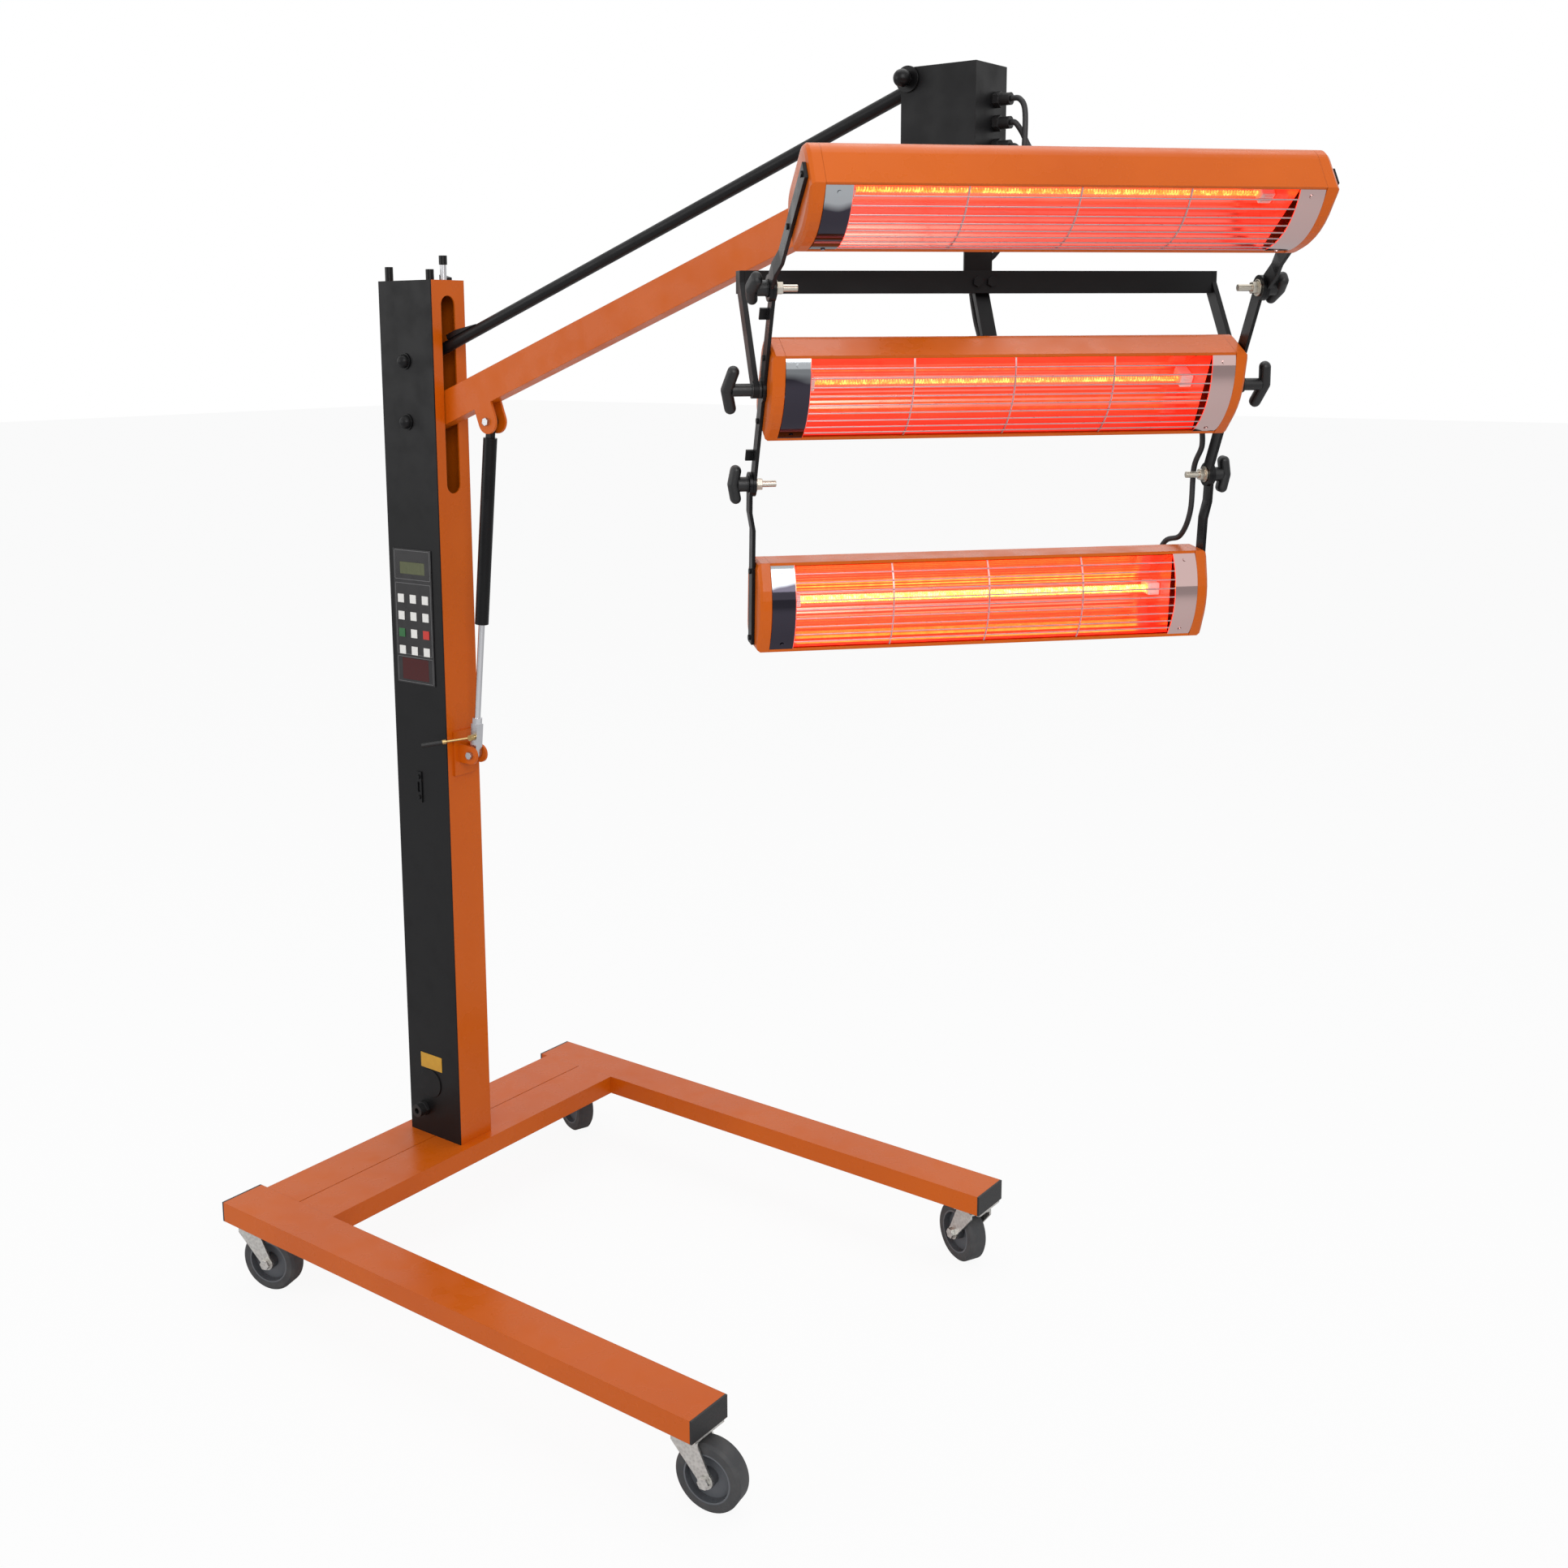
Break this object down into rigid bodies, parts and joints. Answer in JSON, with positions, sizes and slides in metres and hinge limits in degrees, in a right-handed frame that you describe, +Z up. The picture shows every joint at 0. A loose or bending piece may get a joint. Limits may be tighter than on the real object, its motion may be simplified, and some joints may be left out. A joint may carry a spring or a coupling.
{
  "type": "mobile infrared dryer",
  "caption": "Wheeled infrared paint dryer: orange U base and mast, gas spring arm, black swivel yoke with hinged ribbed-reflector lamps behind wire guards.",
  "frame": {"origin": "on the floor under the middle of the mast", "axes": "+X forwards along the legs and the arm, +Y towards the leg away from the controls, +Z up"},
  "size_m": [1.5683, 0.8635, 1.8181],
  "materials": {
    "orange_paint": "gloss",
    "black_paint": "satin",
    "zinc": "satin",
    "tyre": "matte",
    "black_plastic": "matte",
    "panel_black": "gloss",
    "window": "gloss",
    "board_green": "matte",
    "rod_chrome": "polished",
    "lever_brass": "satin",
    "mirror_metal": "polished",
    "quartz": "clear",
    "wire_steel": "satin",
    "cable_black": "matte"
  },
  "bodies": {
    "root": {"near_leg": "orange_paint", "far_leg": "orange_paint", "cross_tubes": "orange_paint", "leg_end_caps": "black_plastic", "caster_plates": "zinc", "mast_channel": "orange_paint", "mast_cover": "black_paint", "mast_top_plate": "orange_paint", "mast_bolts": "black_paint", "keypad": "panel_black", "panel_windows": "window", "control_board": "board_green", "mains_gland": "black_plastic", "spring_bracket": "orange_paint"},
    "near_front_caster": {"near_front_fork": "zinc"},
    "near_front_roller": {"near_front_wheel": "tyre"},
    "far_front_caster": {"far_front_fork": "zinc"},
    "far_front_roller": {"far_front_wheel": "tyre"},
    "near_rear_caster": {"near_rear_fork": "zinc"},
    "near_rear_roller": {"near_rear_wheel": "tyre"},
    "far_rear_caster": {"far_rear_fork": "zinc"},
    "far_rear_roller": {"far_rear_wheel": "tyre"},
    "arm": {"arm_beam": "orange_paint"},
    "link": {"upper_link": "black_paint"},
    "spring_body": {"spring_cylinder": "black_paint"},
    "spring_shaft": {"spring_rod": "rod_chrome"},
    "lever": {"release_lever": "lever_brass"},
    "head": {"head_box": "black_paint", "head_bolts": "black_paint", "head_glands": "black_plastic"},
    "yoke": {"yoke_post": "black_paint", "yoke_crossbar": "black_paint", "yoke_left_arm": "black_paint", "yoke_right_arm": "black_paint", "head_leads": "cable_black", "yoke_leads": "cable_black"},
    "left_tee": {"left_tee_knob": "black_plastic"},
    "right_tee": {"right_tee_knob": "black_plastic"},
    "lamp_set": {"side_bars": "black_paint", "mid_housing": "orange_paint", "mid_reflector": "mirror_metal", "mid_heater": "quartz", "mid_guard": "wire_steel", "mid_lead": "cable_black"},
    "top_lamp": {"top_hangers": "black_paint", "top_housing": "orange_paint", "top_reflector": "mirror_metal", "top_heater": "quartz", "top_guard": "wire_steel", "top_lead": "cable_black"},
    "bottom_lamp": {"bottom_hangers": "black_paint", "bottom_housing": "orange_paint", "bottom_reflector": "mirror_metal", "bottom_heater": "quartz", "bottom_guard": "wire_steel", "bottom_lead": "cable_black"},
    "top_left_wing": {"top_left_knob": "black_plastic"},
    "top_right_wing": {"top_right_knob": "black_plastic"},
    "bottom_left_wing": {"bottom_left_knob": "black_plastic"},
    "bottom_right_wing": {"bottom_right_knob": "black_plastic"}
  },
  "joints": [
    {"name": "near_front_swivel", "type": "hinge", "parent": "root", "child": "near_front_caster", "pos_m": [0.826, -0.363, 0.1], "axis": [0, 0, 1], "continuous": true},
    {"name": "near_front_roll", "type": "hinge", "parent": "near_front_caster", "child": "near_front_roller", "pos_m": [0.85563, -0.35831, 0.048], "axis": [-0.1564, 0.9877, 0], "continuous": true},
    {"name": "far_front_swivel", "type": "hinge", "parent": "root", "child": "far_front_caster", "pos_m": [0.826, 0.363, 0.1], "axis": [0, 0, 1], "continuous": true},
    {"name": "far_front_roll", "type": "hinge", "parent": "far_front_caster", "child": "far_front_roller", "pos_m": [0.79881, 0.37568, 0.048], "axis": [-0.4226, -0.9063, 0], "continuous": true},
    {"name": "near_rear_swivel", "type": "hinge", "parent": "root", "child": "near_rear_caster", "pos_m": [-0.065, -0.363, 0.1], "axis": [0, 0, 1], "continuous": true},
    {"name": "near_rear_roll", "type": "hinge", "parent": "near_rear_caster", "child": "near_rear_roller", "pos_m": [-0.03616, -0.35473, 0.048], "axis": [-0.2756, 0.9613, 0], "continuous": true},
    {"name": "far_rear_swivel", "type": "hinge", "parent": "root", "child": "far_rear_caster", "pos_m": [-0.065, 0.363, 0.1], "axis": [0, 0, 1], "continuous": true},
    {"name": "far_rear_roll", "type": "hinge", "parent": "far_rear_caster", "child": "far_rear_roller", "pos_m": [-0.03681, 0.35274, 0.048], "axis": [0.342, 0.9397, 0], "continuous": true},
    {"name": "arm_lift", "type": "hinge", "parent": "root", "child": "arm", "pos_m": [-0.004, 0, 1.359], "axis": [0, -1, 0], "range_deg": [-38, 12]},
    {"name": "link_swing", "type": "hinge", "parent": "root", "child": "link", "pos_m": [-0.004, 0, 1.455], "axis": [0, -1, 0], "range_deg": [-38, 12]},
    {"name": "head_level", "type": "hinge", "parent": "arm", "child": "head", "pos_m": [0.93171, 0, 1.70606], "axis": [0, -1, 0], "range_deg": [-12, 38]},
    {"name": "shaft_swing", "type": "hinge", "parent": "root", "child": "spring_shaft", "pos_m": [0.09, 0, 0.82], "axis": [0, -1, 0], "range_deg": [-0.6, 1.4]},
    {"name": "spring_stroke", "type": "slide", "parent": "spring_shaft", "child": "spring_body", "axis": [0.1071, 0, 0.9942], "range_m": [-0.102, 0.034]},
    {"name": "lever_pull", "type": "hinge", "parent": "spring_shaft", "child": "lever", "pos_m": [0.09321, -0.012, 0.84983], "axis": [0, -1, 0], "range_deg": [0, 12], "stiffness_Nm_per_rad": 0.15},
    {"name": "yoke_swivel", "type": "hinge", "parent": "head", "child": "yoke", "pos_m": [1.00771, 0, 1.70606], "axis": [0, 0, 1], "range_deg": [-48, 132], "deforming": ["head_leads"]},
    {"name": "left_tee_turn", "type": "hinge", "parent": "yoke", "child": "left_tee", "pos_m": [0.87459, -0.3242, 1.42806], "axis": [0.6691, 0.7431, 0], "range_deg": [-120, 120]},
    {"name": "right_tee_turn", "type": "hinge", "parent": "yoke", "child": "right_tee", "pos_m": [1.31621, 0.16628, 1.42806], "axis": [0.6691, 0.7431, 0], "range_deg": [-120, 120]},
    {"name": "set_tilt", "type": "hinge", "parent": "yoke", "child": "lamp_set", "pos_m": [1.0954, -0.07896, 1.42806], "axis": [0.6691, 0.7431, 0], "range_deg": [-25, 50], "deforming": ["yoke_leads"]},
    {"name": "top_tilt", "type": "hinge", "parent": "lamp_set", "child": "top_lamp", "pos_m": [1.14076, -0.11979, 1.54284], "axis": [0.6691, 0.7431, 0], "range_deg": [-27, 45], "deforming": ["top_lead"]},
    {"name": "bottom_tilt", "type": "hinge", "parent": "lamp_set", "child": "bottom_lamp", "pos_m": [1.05005, -0.03812, 1.31327], "axis": [0.6691, 0.7431, 0], "range_deg": [-45, 23], "deforming": ["bottom_lead"]},
    {"name": "top_left_wing_turn", "type": "hinge", "parent": "lamp_set", "child": "top_left_wing", "pos_m": [0.92998, -0.35389, 1.54284], "axis": [0.6691, 0.7431, 0], "range_deg": [-120, 120]},
    {"name": "top_right_wing_turn", "type": "hinge", "parent": "lamp_set", "child": "top_right_wing", "pos_m": [1.35153, 0.11429, 1.54284], "axis": [0.6691, 0.7431, 0], "range_deg": [-120, 120]},
    {"name": "bottom_left_wing_turn", "type": "hinge", "parent": "lamp_set", "child": "bottom_left_wing", "pos_m": [0.83927, -0.27221, 1.31327], "axis": [0.6691, 0.7431, 0], "range_deg": [-120, 120]},
    {"name": "bottom_right_wing_turn", "type": "hinge", "parent": "lamp_set", "child": "bottom_right_wing", "pos_m": [1.26082, 0.19597, 1.31327], "axis": [0.6691, 0.7431, 0], "range_deg": [-120, 120]}
  ],
  "couplings": [
    {"joint": "link_swing", "follows": "arm_lift", "ratio": 1},
    {"joint": "head_level", "follows": "arm_lift", "ratio": -1},
    {"joint": "shaft_swing", "follows": "arm_lift", "ratio": -0.03},
    {"joint": "spring_stroke", "follows": "arm_lift", "m_per_rad": 0.15}
  ]
}
